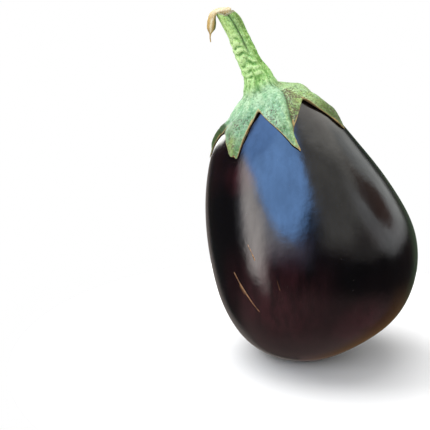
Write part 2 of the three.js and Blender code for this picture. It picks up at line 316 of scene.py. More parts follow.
def copy_of_node(node, name):
    """A new piece with the shape of a CAD node, its loose triangles merged and joined into quads."""
    piece = bpy.data.objects.new(name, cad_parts[node].data.copy())
    bpy.context.scene.collection.objects.link(piece)
    piece.data.name = name
    piece.data.materials.clear()
    select_only(piece)
    bpy.ops.object.mode_set(mode="EDIT")
    bpy.ops.mesh.select_all(action="SELECT")
    bpy.ops.mesh.remove_doubles(threshold=MERGE_DISTANCE)
    bpy.ops.mesh.tris_convert_to_quads(face_threshold=QUAD_ANGLE, shape_threshold=QUAD_ANGLE)
    bpy.ops.object.mode_set(mode="OBJECT")
    bpy.ops.object.shade_smooth()
    return piece


def subdivide(piece):
    select_only(piece)
    smoother = piece.modifiers.new("smoother", "SUBSURF")
    smoother.levels = SMOOTHING
    smoother.render_levels = SMOOTHING
    bpy.ops.object.modifier_apply(modifier=smoother.name)


def points_of(piece):
    points = np.empty(len(piece.data.vertices) * 3)
    piece.data.vertices.foreach_get("co", points)
    return points.reshape(-1, 3)


def normals_of(piece):
    normals = np.empty(len(piece.data.vertices) * 3)
    piece.data.vertex_normals.foreach_get("vector", normals)
    return normals.reshape(-1, 3)


def move_points(piece, points):
    piece.data.vertices.foreach_set("co", points.ravel())
    piece.data.update()


def write_attribute(piece, name, values, kind="FLOAT"):
    attribute = piece.data.attributes.new(name, kind, "POINT")
    field = "vector" if kind == "FLOAT_VECTOR" else "value"
    attribute.data.foreach_set(field, np.ascontiguousarray(values, dtype=np.float32).ravel())


def bell(value, middle, spread):
    return np.exp(-(((value - middle) / spread) ** 2))


def smooth(value, low, high):
    """0 up to the low limit and 1 from the high one on, with an even slope between them."""
    share = np.clip((value - low) / (high - low), 0, 1)
    return share * share * (3 - 2 * share)


def band(value, begins, full, fades, ends):
    return smooth(value, begins, full) * (1 - smooth(value, fades, ends))


def noise_at(points):
    return np.array([noise.noise(Vector(point)) for point in points])


def grain_at(around, rise, height, finely, length, start):
    """Noise that goes round the stalk and calyx and along them."""
    return height * noise_at(np.column_stack([around * finely, rise / length + start]))


# ---- Camera ----


def add_camera():
    lens = bpy.data.cameras.new("camera")
    lens.lens = CAMERA_LENS
    lens.clip_start, lens.clip_end = CAMERA_CLIP
    camera = bpy.data.objects.new("camera", lens)
    camera.location = CAMERA_PLACE
    aim = Vector(CAMERA_AIM) - camera.location
    camera.rotation_euler = aim.to_track_quat("-Z", "Y").to_euler()
    bpy.context.scene.collection.objects.link(camera)
    bpy.context.scene.camera = camera


add_camera()

# ---- Shapes ----


def make_skin():
    skin = copy_of_node("fruit", "waxy_skin")
    subdivide(skin)
    points = points_of(skin) / MM
    heights = points[:, 2]
    swell = SIDE_SWELL + LOW_SWELL * bell(heights, *LOW_SWELL_HEIGHT)
    points[:, 0] += swell * smooth(points[:, 0], *SWELL_ASIDE) * band(heights, *SWELL_HEIGHTS)
    move_points(skin, points * MM)
    return skin


def calyx_places(points):
    """The heading in radians, the rise, the share of stalk and the angle off the axis of each point."""
    axis = np.array((-math.sin(CALYX_LEAN), 0, math.cos(CALYX_LEAN)))
    right = np.array((math.cos(CALYX_LEAN), 0, math.sin(CALYX_LEAN)))
    from_heart = points - (np.array(CALYX_TOP) - CALYX_DEPTH * axis)
    aside = from_heart @ right
    off = np.degrees(np.arctan2(np.hypot(aside, points[:, 1]), from_heart @ axis))
    turn_calyx = np.arctan2(aside, -points[:, 1])

    steps = np.hypot(*np.diff(STALK_LINE, axis=0).T)
    lengths = np.concatenate([[0], np.cumsum(steps)])
    way = STALK_LINE[-1] - STALK_LINE[0]
    way = way / np.hypot(*way)
    along = (points[:, [0, 2]] - STALK_LINE[0]) @ way
    marks = (STALK_LINE - STALK_LINE[0]) @ way
    middle_x = np.interp(along, marks, STALK_LINE[:, 0])
    middle_z = np.interp(along, marks, STALK_LINE[:, 1])
    sideways = (points[:, 0] - middle_x) * way[1] - (points[:, 2] - middle_z) * way[0]
    turn_stalk = np.arctan2(sideways, -points[:, 1])
    length = np.interp(along, marks, lengths)

    from_line = np.hypot(sideways, points[:, 1])
    share = (1 - smooth(from_line, *STALK_GIRTH)) * smooth(along, *STALK_START)
    turn = np.arctan2(
        share * np.sin(turn_stalk) + (1 - share) * np.sin(turn_calyx),
        share * np.cos(turn_stalk) + (1 - share) * np.cos(turn_calyx),
    )
    run = np.radians(off - CALYX_FOOT) * CALYX_DEPTH
    rise = share * length - (1 - share) * np.maximum(run, 0)
    return turn, rise, share, off


def edge_points(calyx, skin_tree):
    """Points along the faces that stand on edge round the sepals."""
    middles = np.array([face.center for face in calyx.data.polygons])
    off = calyx_places(middles / MM)[3]
    found = []
    for face, place, angle in zip(calyx.data.polygons, middles, off):
        _, normal, _, _ = skin_tree.find_nearest(Vector(place))
        if angle < RIM_START or abs(face.normal.dot(normal)) > RIM_SLOPE:
            continue
        corners = [calyx.data.vertices[index].co for index in face.vertices]
        for start, end in zip(corners, corners[1:] + corners[:1]):
            found += [start.lerp(end, step / EDGE_STEPS) for step in range(EDGE_STEPS)]
    return found


def distance_to(found, points):
    tree = KDTree(len(found))
    for index, place in enumerate(found):
        tree.insert(place, index)
    tree.balance()
    return np.array([tree.find(Vector(point))[2] for point in points])


def evened_out(piece, values, rounds):
    """Values of the vertices, mixed with those of their neighbours round after round."""
    edges = np.empty(len(piece.data.edges) * 2, dtype=np.int64)
    piece.data.edges.foreach_get("vertices", edges)
    edges = edges.reshape(-1, 2)
    count = np.bincount(edges.ravel(), minlength=len(values))[:, None]
    for _ in range(rounds):
        total = np.zeros_like(values)
        np.add.at(total, edges[:, 0], values[edges[:, 1]])
        np.add.at(total, edges[:, 1], values[edges[:, 0]])
        values = (values + total / count) / 2
    return values


def height_over_neighbours(piece):
    """How far each vertex stands out of the evened surface, in millimetres; below 0 in a hollow."""
    points = points_of(piece)
    return ((points - evened_out(piece, points, HOLLOW_ROUNDS)) * normals_of(piece)).sum(axis=1) / MM


def front_rib(off):
    """The heading of the front sepal's rib, by the angle off the calyx's axis."""
    return np.interp(off, *zip(*FRONT_RIB))


def round_calyx(turned, off):
    """How long a turn round the calyx's axis is, in millimetres."""
    return np.radians(turned) * CALYX_DEPTH * np.sin(np.radians(off))


def swing_of(heading, off, on_leaf):
    """How far each point is turned round the calyx's axis, towards a lower heading, in degrees."""
    swing = SLIM_SWING * band(-heading, *SLIM_SWING_LEFTWARD) * band(off, *SLIM_SWING_ANGLES) * on_leaf
    swing += BROAD_SWING * bell(heading, *BROAD_SWING_HEADING) * bell(off, *BROAD_SWING_ANGLE)
    at_notch = band(-heading, *NOTCH_LEFTWARD) * band(off, *NOTCH_ANGLES) * on_leaf
    swing = np.maximum(swing, NOTCH_SWING * at_notch)
    swing += SIDE_SWING * bell(heading, *SIDE_HEADING) * smooth(off, *SIDE_ANGLES)
    beside_tip = bell(heading, *TIP_EDGE_HEADING) * bell(off, *TIP_EDGE_ANGLE)
    swing += TIP_NARROWED * beside_tip * smooth(heading - front_rib(off), *TIP_EDGE_FROM_RIB)
    return swing - TIP_HOOKED * bell(heading, *TIP_HEADING) * smooth(off, *TIP_ANGLES)


def fit_to_skin(points, skin_tree, edge, heading, off, on_leaf):
    """Lays the rims of the sepals on the skin, thins most of them, and turns the parts that are askew."""
    fitted = points.copy()
    near = (1 - smooth(edge, *RIM_REACH)) * on_leaf
    thinned = RIM_THINNED - sum(more * bell(heading, middle, spread) for middle, spread, more in THICK_RIMS)
    swing = swing_of(heading, off, on_leaf)
    axis = Vector((-math.sin(CALYX_LEAN), 0, math.cos(CALYX_LEAN)))
    heart = CALYX_TOP * MM - axis * (CALYX_DEPTH * MM)
    for index in np.nonzero((near > 0) | (abs(swing) > LEAST_SWING))[0]:
        point = Vector(points[index])
        place, normal, _, _ = skin_tree.find_nearest(point)
        height = (point - place).dot(normal)
        turned = heart + Quaternion(axis, -math.radians(swing[index])) @ (point - heart)
        place, normal, _, _ = skin_tree.find_nearest(turned)
        height -= near[index] * (RIM_SINK * MM + thinned[index] * (height - CAD_CLEARANCE * MM))
        fitted[index] = np.array(place + normal * height)
    return fitted


def stalk_relief(turn, rise, around):
    """Folds, wrinkles and fibres of the stalk, in millimetres."""
    heading = np.degrees(turn)
    crumpled = LEAST_CRUMPLED + (1 - LEAST_CRUMPLED) * bell(heading, *CRUMPLED_HEADING)
    fold = (rise + FOLD_SLANT * heading) / FOLD_PITCH + grain_at(around, rise, *FOLD_WANDER)
    folded = smooth(grain_at(around, rise, *FOLD_PATCHES), *FOLDED_PATCHES) * band(rise, *FOLDED_RISE)
    relief = FOLD_HEIGHT * np.cos(2 * np.pi * fold) * folded * crumpled
    relief += grain_at(around, rise, *LUMPS) * band(rise, *LUMPED_RISE) * crumpled

    # Upright wrinkles where the stalk spreads into the calyx, most of all on the right.
    relief += grain_at(around, rise, *FOOT_WRINKLES) * band(rise, *FOOT_RISE)
    all_round, more_right, height = FOOT_FLARE
    relief += height * band(rise, *FLARED_RISE) * (all_round + more_right * np.sin(turn))

    # It leans a little further to the left than its middle line, and is waisted on the right.
    relief += LEFT_BULGE * bell(rise, *LEFT_BULGE_RISE) * smooth(-np.sin(turn), *ASIDE)
    for depth, middle, spread in WAISTS:
        relief -= depth * bell(rise, middle, spread) * smooth(np.sin(turn), *ASIDE)

    # Flutes along the upper part, with one groove that is deeper, and fibres all over.
    flutes = FLUTE_HEIGHT * bell(heading, *FLUTE_HEADING) - GROOVE_DEPTH * bell(heading, *GROOVE_HEADING)
    relief += (flutes + grain_at(around, rise, *UPPER_FLUTES)) * smooth(rise, *FLUTED_RISE)
    return relief + grain_at(around, rise, *STALK_FIBRES)


def calyx_relief(points, turn, rise, off, around):
    """Ribs, veins and bumps of the calyx, in millimetres."""
    heading = np.degrees(turn)
    relief = grain_at(around, rise, *CALYX_VEINS) * smooth(-rise, *VEINED_FALL)
    for height, size in (COARSE_BUMPS, FINE_BUMPS):
        relief += height * noise_at(points / size)

    from_rib = round_calyx(heading - front_rib(off), off)
    rib = FRONT_RIB_HEIGHT * bell(from_rib, *FRONT_RIB_PLACE)
    rib -= FRONT_RIB_DEPTH * bell(from_rib, *FRONT_RIB_GROOVE)
    relief += rib * band(off, *FRONT_RIB_ANGLES)
    for sepal, height in SEPAL_RIBS:
        from_rib = round_calyx((heading - sepal + 180) % 360 - 180, off)
        relief += height * bell(from_rib, *SEPAL_RIB_PLACE) * smooth(off, *SEPAL_RIB_ANGLES)

    relief += SIDE_LIFT * bell(heading, *SIDE_LIFT_HEADING) * smooth(off, *SIDE_LIFT_ANGLES)
    split = bell(round_calyx(heading - BROAD_SPLIT, off), *BROAD_SPLIT_PLACE)
    return relief - BROAD_SPLIT_DEPTH * split * smooth(off, *BROAD_SPLIT_ANGLES)


def calyx_patches(turn, rise, off, on_stalk):
    """Patches of the calyx and stalk with tones of their own, and patches of painted light and painted shade,
    as numbers from 0 to 1.
    """
    heading = np.degrees(turn)
    from_rib = round_calyx(heading - front_rib(off), off)
    on_leaf = 1 - on_stalk
    outward = smooth(off, *OUTWARD_ANGLES) * on_leaf
    right_side = band(heading, *RIGHT_SIDE_HEADING) * on_leaf
    right_face = smooth(from_rib, *RIGHT_FACE_FROM_RIB) * (1 - smooth(heading, *RIGHT_FACE_ENDS))
    right_face = right_face * smooth(off, *RIGHT_FACE_ANGLES) * on_leaf
    front_left = bell(heading, *FRONT_LEFT_HEADING) * band(off, *FRONT_LEFT_ANGLES) * on_leaf
    slim = band(-heading, *SLIM_LEFTWARD) * smooth(off, *SLIM_ANGLES) * on_leaf
    rib_part = band(off, *RIB_TONED_ANGLES) * on_leaf
    lit_stalk_left = bell(heading, *STALK_LEFT_HEADING) * on_stalk
    stalk_right = smooth(heading, *STALK_RIGHT_HEADING) * smooth(rise, *STALK_RIGHT_RISE)
    stalk_right_top_shade = smooth(heading, *STALK_RIGHT_TOP_SHADE_HEADING) * smooth(rise, *STALK_RIGHT_TOP_SHADE_RISE)
    collar = smooth(rise, *COLLAR_RISE) * on_leaf
    return {
        "everywhere": np.ones_like(off),
        "outward": outward,
        "right_side": right_side,
        "right_side_outer_shade": right_side * smooth(off, *RIGHT_SIDE_OUTER_SHADE),
        "right_side_shaded": right_side * smooth(off, *RIGHT_SIDE_SHADED),
        "side_tip": bell(heading, *SIDE_TIP_HEADING) * smooth(off, *SIDE_TIP_ANGLES) * on_leaf,
        "right_face": right_face,
        "right_face_inner_shade": right_face * (1 - smooth(off, *RIGHT_FACE_INNER_SHADE_ENDS)),
        "right_face_speckled": right_face * (1 - smooth(off, *RIGHT_FACE_SPECKLED_ENDS)),
        "front_left": front_left,
        "front_left_outer_shade": front_left * outward,
        "front_tip": bell(heading, *FRONT_TIP_HEADING) * smooth(off, *FRONT_TIP_ANGLES) * on_leaf,
        "broad": bell(heading, *BROAD_HEADING) * smooth(off, *BROAD_ANGLES) * on_leaf,
        "broad_stripe": bell(heading, *BROAD_STRIPE_HEADING) * smooth(off, *BROAD_STRIPE_ANGLES) * on_leaf,
        "slim": slim,
        "slim_tip": slim * smooth(off, *SLIM_TIP_ANGLES),
        "rib": bell(from_rib, *RIB_TONED) * rib_part,
        "rib_groove_shade": bell(from_rib, *RIB_GROOVE_SHADE) * rib_part,
        "lit_beside_rib": bell(from_rib, *LIT_BESIDE_RIB) * rib_part,
        "collar": collar,
        "collar_right": collar * right_side,
        "stalk_groove_shade": bell(heading, *STALK_GROOVE_SHADE_HEADING) * smooth(rise, *STALK_GROOVE_SHADE_RISE) * on_stalk,
        "lit_stalk_left": lit_stalk_left,
        "lit_stalk_left_middle": lit_stalk_left * smooth(rise, *STALK_LEFT_MIDDLE_RISE),
        "lit_stalk_left_upper": lit_stalk_left * smooth(rise, *STALK_LEFT_UPPER_RISE),
        "lit_stalk_left_top": lit_stalk_left * smooth(rise, *STALK_LEFT_TOP_RISE),
        "stalk_right": stalk_right * on_stalk,
        "stalk_right_top_shade": stalk_right_top_shade * on_stalk,
    }


def make_calyx(skin):
    calyx = copy_of_node("calyx_and_stalk", "green_calyx")
    skin_tree = BVHTree.FromObject(skin, bpy.context.evaluated_depsgraph_get())
    rim = edge_points(calyx, skin_tree)
    subdivide(calyx)

    points = points_of(calyx)
    turn, rise, on_stalk, off = calyx_places(points / MM)
    on_leaf = 1 - on_stalk
    edge = distance_to(rim, points) / MM
    move_points(calyx, fit_to_skin(points, skin_tree, edge, np.degrees(turn), off, on_leaf))

    points = points_of(calyx)
    normals = normals_of(calyx)
    facing = np.array([skin_tree.find_nearest(Vector(point))[1] for point in points])
    level = (facing * normals).sum(axis=1)
    outside = np.maximum(smooth(level, *UPPER_SIDE), on_stalk)
    around = np.stack([np.cos(turn), np.sin(turn)], axis=1)
    relief = stalk_relief(turn, rise, around) * smooth(rise, *STALK_RELIEF_RISE)
    relief += calyx_relief(points / MM, turn, rise, off, around) * on_leaf
    relief *= 1 - smooth(rise, END_RISE - END_ROUND, END_RISE)
    moved = points + normals * (relief * outside * MM)[:, None]

    # The cut end stands higher on the left, where the strip of peel tears off.
    lift = END_LIFT * smooth(rise, END_RISE - END_LIFT_START, END_RISE)
    lift *= smooth(-np.sin(turn), *END_LIFT_ASIDE)
    moved += np.outer(lift * MM, END_LIFT_WAY)
    move_points(calyx, moved)

    write_attribute(calyx, "edge", edge)
    write_attribute(calyx, "rim", (1 - smooth(level, *RIM_FACES)) * smooth(off, *RIM_ANGLES) * on_leaf)
    # How far each place stands out: the material paints shade in hollows and a highlight on what stands out.
    write_attribute(calyx, "hollow", height_over_neighbours(calyx))
    write_attribute(calyx, "stalk", on_stalk)
    write_attribute(calyx, "rise", rise)
    finely, length = GRAIN_SCALE
    write_attribute(calyx, "grain", np.column_stack([around * finely, rise / length]), "FLOAT_VECTOR")
    patches = calyx_patches(turn, rise, off, on_stalk)
    for tone, shares in PAINT.items():
        amount = sum(share * patches[patch] for patch, share in shares.items())
        write_attribute(calyx, tone, np.clip(amount, 0, 1))
    return calyx


def make_strip():
    strip = copy_of_node("dried_strip", "dried_peel_strip")
    subdivide(strip)
    points = points_of(strip) / MM
    normals = normals_of(strip)

    # Its root widens, reaches on over the cut end and lies down on it.
    root = smooth(points[:, 0], *ROOT_ASIDE)
    under = smooth(-normals[:, 2], *UNDERSIDE)
    points[:, 0] += ROOT_REACH * root
    points[:, 1] *= 1 + ROOT_SPREAD * root
    points[:, 2] += (ROOT_LIFT - ROOT_SINK * under) * root
    body = smooth(points[:, 2], *BODY_HEIGHTS)
    points += normals * (BODY_SWELL * body * (1 - UNDERSIDE_SPARED * under))[:, None]
    points += normals * (PEEL_FIBRE_HEIGHT * body * noise_at(points / PEEL_FIBRES))[:, None]
    move_points(strip, points * MM)

    # A painted highlight on the ridge that faces the front, and painted shade on the inside, which faces
    # right.
    lit_and_shaded = PEEL_LIGHT_AND_SHADE * body * (1 - smooth(points[:, 2], *ROOT_HEIGHTS))
    write_attribute(strip, "ridge_highlight", lit_and_shaded * bell(normals[:, 0], *RIDGE_HIGHLIGHT_FACING))
    write_attribute(strip, "inside_shade", lit_and_shaded * smooth(normals[:, 0], *INSIDE_SHADE_FACING))
    return strip


skin = make_skin()
calyx = make_calyx(skin)
strip = make_strip()

# ---- Helpers for materials ----


class Recipe:
    """A tree of nodes, which are added one by one."""

    def __init__(self, tree):
        self.tree = tree

    def add(self, kind, inputs, **settings):
        made = self.tree.nodes.new(kind)
        for key, value in settings.items():
            setattr(made, key, value)
        for key, value in inputs.items():
            self.feed(made.inputs[key], value)
        return made

    def feed(self, socket, value):
        if isinstance(value, bpy.types.NodeSocket):
            self.tree.links.new(value, socket)
        else:
            socket.default_value = value

    def maths(self, operation, *values):
        return self.add("ShaderNodeMath", dict(enumerate(values)), operation=operation).outputs[0]

    def vector(self, operation, *values, out="Vector"):
        return self.add("ShaderNodeVectorMath", dict(enumerate(values)), operation=operation).outputs[out]

    def range(self, value, low, high, to_low=0.0, to_high=1.0):
        inputs = dict(enumerate((value, low, high, to_low, to_high)))
        return self.add("ShaderNodeMapRange", inputs, interpolation_type="SMOOTHSTEP").outputs[0]

    def noise(self, place, scale, detail, roughness):
        inputs = {"Vector": place, "Scale": scale, "Detail": detail, "Roughness": roughness}
        return self.add("ShaderNodeTexNoise", inputs).outputs[0]

    def mix(self, share, first, second):
        # Its sockets for colours come after those for numbers and vectors.
        return self.add("ShaderNodeMix", {0: share, 6: first, 7: second}, data_type="RGBA").outputs[2]

    def attribute(self, name, out="Fac"):
        return self.add("ShaderNodeAttribute", {}, attribute_name=name).outputs[out]

    def place(self, kind="Object"):
        return self.add("ShaderNodeTexCoord", {}).outputs[kind]


def rgb(red, green, blue):
    return (red, green, blue, 1.0)


# The sides of a drawn line, in its half widths from its middle.
LINE_BEGINS = 1.5
LINE_FULL = 0.5


class MaterialRecipe(Recipe):
    """A material with a principled shader, and the nodes that feed it."""

    def __init__(self, name):
        self.material = bpy.data.materials.new(name)
        self.material.use_nodes = True
        super().__init__(self.material.node_tree)
        self.surface = self.tree.nodes["Principled BSDF"].inputs

    def bump(self, height, strength, distance, over=None):
        inputs = {"Height": height, "Strength": strength, "Distance": distance}
        if over:
            inputs["Normal"] = over
        return self.add("ShaderNodeBump", inputs).outputs[0]

    def wandering(self, name, noise, reach):
        """An attribute that a noise raises and lowers by up to this reach."""
        return self.maths("ADD", self.attribute(name), self.maths("MULTIPLY_ADD", noise, 2 * reach, -reach))

    def line_distance(self, place, start, end):
        """How far a place is from the straight line between two points."""
        start, end = Vector(start), Vector(end)
        way = end - start
        from_start = self.vector("SUBTRACT", place, tuple(start))
        along = self.vector("DOT_PRODUCT", from_start, tuple(way / way.length_squared), out="Value")
        held = self.add("ShaderNodeClamp", {"Value": along}).outputs[0]
        nearest = self.add("ShaderNodeVectorMath", {0: tuple(way), "Scale": held}, operation="SCALE")
        return self.vector("DISTANCE", from_start, nearest.outputs[0], out="Value")

    def drawn(self, place, lines, strength=1.0):
        """Straight lines with soft sides; each has its start, its end and half its width."""
        share = 0.0
        for start, end, half in lines:
            far = self.line_distance(place, start, end)
            soft_side = (LINE_BEGINS * half, LINE_FULL * half)
            share = self.maths("MAXIMUM", share, self.range(far, *soft_side, 0, strength))
        return share


# How the patterns of materials are given below. A noise: its scale, detail and roughness. A range: two limits
# of a value and what it becomes at them, which is 0 and 1 where nothing is said. A bump: its strength and its
# distance in metres.

# ---- Skin ----

SKIN_BLACK = rgb(0.0020, 0.0016, 0.0022)
SKIN_PURPLE = rgb(0.0085, 0.0030, 0.0040)
SKIN_WINE = rgb(0.027, 0.0060, 0.0085)
SKIN_DUST = rgb(0.10, 0.085, 0.07)
SCRATCH_TAN = rgb(0.55, 0.29, 0.12)
SCAR_BROWN = rgb(0.16, 0.09, 0.045)
SKIN_IOR = 1.5

SKIN_STRETCH = (1.0, 1.0, 0.28)  # its streaks are drawn out upwards
SKIN_CLOUDS = (14, 3, 0.55)
SKIN_STREAKS = (160, 4, 0.6)
SKIN_BLOOM = (90, 5, 0.7)
SKIN_WAVES = (75, 2, 0.5)
SKIN_DIMPLES = (300, 4, 0.6)
SKIN_DUST_SCALE = 230.0
SKIN_DUST_RANGE = (0.07, 0.03, 0, 0.25)
PURPLE_RANGE = (0.42, 0.68)
GLOSS_RANGE = (0.3, 0.7, 0.13, 0.19)
BLOOM_RANGE = (0.3, 0.7, 0.42, 0.58)
WORN_ROUGHNESS = 0.4  # how much rougher scratches and scars are
WAVE_BUMP = (0.05, 0.002)
DIMPLE_BUMP = (0.09, 0.0006)
WORN_BUMP = (0.5, 0.0003)

# Scratches in the skin, in metres: start, end and half width.
SCRATCHES = [
    ((-0.0328, -0.0367, 0.0544), (-0.0296, -0.0386, 0.0491), 0.00015),
    ((-0.0296, -0.0386, 0.0491), (-0.0262, -0.0402, 0.0443), 0.00026),
    ((-0.0262, -0.0402, 0.0443), (-0.0236, -0.0412, 0.0407), 0.00020),
    ((-0.0236, -0.0412, 0.0407), (-0.0205, -0.0421, 0.0372), 0.00014),
    ((-0.0260, -0.0431, 0.0703), (-0.0245, -0.0442, 0.0675), 0.00015),
    ((-0.0245, -0.0442, 0.0675), (-0.0227, -0.0453, 0.0638), 0.00023),
]
FAINT_SCRATCHES = [
    ((-0.0122, -0.0498, 0.0554), (-0.0107, -0.0497, 0.0506), 0.00020),
    ((-0.0299, -0.0380, 0.0482), (-0.0275, -0.0392, 0.0447), 0.00030),
]
FAINTNESS = 0.25
SCRATCH_GAPS = (800, 2, 0.5)
SCRATCH_GAP_RANGE = (0.38, 0.58, 0.25, 1.0)

# Where the skin flushes to wine red: middle and reach, in metres.
FLUSHES = [
    ((-0.014, -0.044, 0.045), 0.036),
    ((-0.0315, -0.034, 0.100), 0.012),
    ((0.030, -0.040, 0.030), 0.022),
]
FLUSH_HEART = 0.2  # share of that reach within which the red is full
FLUSH_STREAK_RANGE = (0.2, 0.7)

BLOSSOM_SCAR = (0.020, 0.013, 0.006)
SCAR_RAGS = (420, 3, 0.5)
SCAR_RAGGED = 0.004
SCAR_RANGE = (0.0062, 0.0048)


def skin_material():
    skin = MaterialRecipe("aubergine_skin")
    place = skin.place()
    stretched = skin.vector("MULTIPLY", place, SKIN_STRETCH)
    streak = skin.noise(stretched, *SKIN_STREAKS)
    cloud = skin.range(skin.noise(place, *SKIN_CLOUDS), *PURPLE_RANGE)
    tone = skin.mix(cloud, SKIN_BLACK, SKIN_PURPLE)
    flush = 0.0
    for middle, reach in FLUSHES:
        far = skin.vector("DISTANCE", place, middle, out="Value")
        flush = skin.maths("MAXIMUM", flush, skin.range(far, reach, FLUSH_HEART * reach))
    flush = skin.maths("MULTIPLY", flush, skin.range(streak, *FLUSH_STREAK_RANGE))
    tone = skin.mix(flush, tone, SKIN_WINE)

    broken = skin.range(skin.noise(place, *SCRATCH_GAPS), *SCRATCH_GAP_RANGE)
    scratch = skin.maths("MULTIPLY", skin.drawn(place, SCRATCHES), broken)
    faint = skin.drawn(place, FAINT_SCRATCHES, FAINTNESS)
    tone = skin.mix(skin.maths("MAXIMUM", scratch, faint), tone, SCRATCH_TAN)
    far = skin.vector("DISTANCE", place, BLOSSOM_SCAR, out="Value")
    ragged = skin.maths("MULTIPLY_ADD", skin.noise(place, *SCAR_RAGS), SCAR_RAGGED, far)
    scar = skin.range(ragged, *SCAR_RANGE)
    tone = skin.mix(scar, tone, SCAR_BROWN)
    dust = skin.add("ShaderNodeTexVoronoi", {"Vector": place, "Scale": SKIN_DUST_SCALE})
    fleck = skin.range(dust.outputs["Distance"], *SKIN_DUST_RANGE)
    skin.feed(skin.surface["Base Color"], skin.mix(fleck, tone, SKIN_DUST))

    worn = skin.maths("MAXIMUM", scratch, scar)
    rough = skin.maths("MULTIPLY_ADD", worn, WORN_ROUGHNESS, skin.range(streak, *GLOSS_RANGE))
    skin.feed(skin.surface["Roughness"], rough)
    skin.surface["IOR"].default_value = SKIN_IOR
    bloom = skin.range(skin.noise(stretched, *SKIN_BLOOM), *BLOOM_RANGE)
    skin.feed(skin.surface["Specular IOR Level"], bloom)
    waves = skin.bump(skin.noise(place, *SKIN_WAVES), *WAVE_BUMP)
    dimples = skin.bump(skin.noise(place, *SKIN_DIMPLES), *DIMPLE_BUMP, over=waves)
    skin.feed(skin.surface["Normal"], skin.bump(worn, *WORN_BUMP, over=dimples))
    return skin.material


# ---- Stalk and calyx ----

LEAF_MINT = rgb(0.305, 0.475, 0.31)
LEAF_MINT_DEEP = rgb(0.17, 0.35, 0.19)
LEAF_GREEN = rgb(0.12, 0.23, 0.075)
LEAF_GREEN_DEEP = rgb(0.07, 0.155, 0.035)
LEAF_YELLOW = rgb(0.34, 0.46, 0.14)
LEAF_CREAM = rgb(0.52, 0.71, 0.42)
# Painted shade in the hollows of the calyx.
LEAF_CREASE_SHADE = rgb(0.03, 0.085, 0.02)
# Painted shade.
LEAF_PAINTED_SHADE = rgb(0.032, 0.055, 0.013)
LEAF_BROWN = rgb(0.09, 0.06, 0.045)
LEAF_TAN = rgb(0.46, 0.31, 0.13)
STEM_PALE = rgb(0.43, 0.72, 0.26)
STEM_GREEN = rgb(0.20, 0.44, 0.10)
STEM_CREAM = rgb(0.68, 0.92, 0.44)
STEM_LIME = rgb(0.46, 0.64, 0.12)
# Painted shade in the hollows of the stalk.
STEM_CREASE_SHADE = rgb(0.09, 0.25, 0.045)
EDGE_BROWN = rgb(0.24, 0.15, 0.065)
EDGE_DARK = rgb(0.07, 0.04, 0.016)
CUT_BROWN = rgb(0.32, 0.31, 0.19)
LEAF_IOR = 1.4
LEAF_SHINE = 0.25
LEAF_ROUGHNESS_RANGE = (0.3, 0.7, 0.62, 0.48)

LEAF_FIBRES = (3.2, 5, 0.6)
LEAF_MOTTLES = (240, 5, 0.65)
LEAF_FLECKS = (900, 3, 0.6)
LEAF_CLOUDS = (130, 4, 0.6)
LEAF_SPECKS = (1150, 2, 0.7)
LEAF_PATCHES = (180, 3, 0.6)
RIM_RAGS = (500, 2, 0.5)
CUT_RAGS = (700, 2, 0.5)

MINT_RANGE = (0.38, 0.62)
GREEN_RANGE = (0.4, 0.62)
MOTTLED_FIBRES = 0.5  # how much the mottles add to the fibres of the stalk
STEM_RANGE = (0.6, 0.9)
DEEP_WANDER = 0.6
DEEP_RANGE = (0.1, 1.0)
YELLOW_WANDER = 0.6
YELLOW_RANGE = (0.15, 1.0, 0, 0.85)
PALE_RANGE = (0.3, 0.6, 0.35, 0.9)
# Painted shade in hollows and a painted highlight on what stands out, by how far a place stands out.
CREASE_SHADE_RANGE = (-0.02, -0.24, 0, 0.8)
RAISED_HIGHLIGHT_RANGE = (0.02, 0.2)
RAISED_HIGHLIGHT_SHARE = (0.55, 0.2)  # how much more on the stalk, and everywhere
PALE_FLECK_RANGE = (0.53, 0.68, 0, 0.6)
DEEP_FLECK_RANGE = (0.47, 0.32, 0, 0.6)
GROOVE_SHADE_TONE = 0.8
SPECKLED_RANGE = (0.3, 0.6, 0.45, 1.0)
SPECK_LIMIT = (-0.23, 0.67)  # where it is speckled, and elsewhere
SPECK_RANGE = (-0.02, 0.07, 0, 0.9)
BROWN_WANDER = 0.4
BROWN_RANGE = (0.1, 0.9)
RIM_RAGGED = 0.5
DRY_RIM_AND_HIGHLIGHT_RANGE = (0.8, 0.5)
DRY_PATCH_RANGE = (0.35, 0.6, 0.3, 0.9)
CUT_RAGGED = 1.2
CUT_RANGE = (END_RISE - 0.2, END_RISE + 0.5)
GRIT_BUMP = (0.5, 0.0003)
FIBRE_BUMP_STRENGTH = (0.35, 0.15)  # how much more on the stalk, and everywhere
FIBRE_BUMP_DISTANCE = 0.0007


